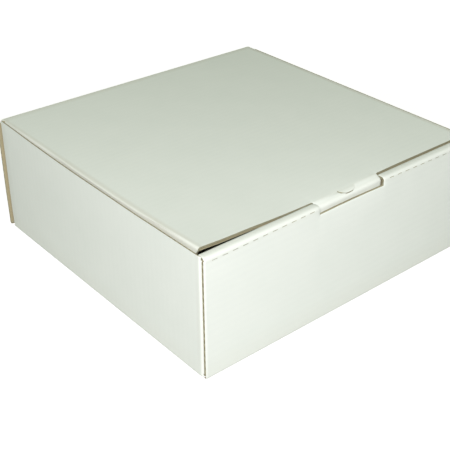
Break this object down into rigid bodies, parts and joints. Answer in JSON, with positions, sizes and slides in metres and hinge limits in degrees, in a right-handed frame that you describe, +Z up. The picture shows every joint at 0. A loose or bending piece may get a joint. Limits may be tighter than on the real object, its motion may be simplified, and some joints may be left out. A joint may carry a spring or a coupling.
{
  "type": "cake box",
  "caption": "Square white corrugated cake box, die-cut from one sheet, with a rolled front wall and a hinged lid whose front tab tucks into a slot.",
  "frame": {"origin": "middle of the base's underside, on the surface the box stands on", "axes": "+X to the right along the front wall, +Y from the front wall to the back wall, +Z up"},
  "size_m": [0.311, 0.311, 0.111],
  "materials": {
    "white_board": "matte white liner outside, brown fluting and brown inner liner at the cut edges"
  },
  "bodies": {
    "tray": {"tray": "white_board"},
    "lid": {"lid": "white_board"}
  },
  "joints": [
    {"name": "lid_hinge", "type": "hinge", "parent": "tray", "child": "lid", "pos_m": [0, 0.15565, 0.108], "axis": [-1, 0, 0], "range_deg": [0, 180]}
  ]
}
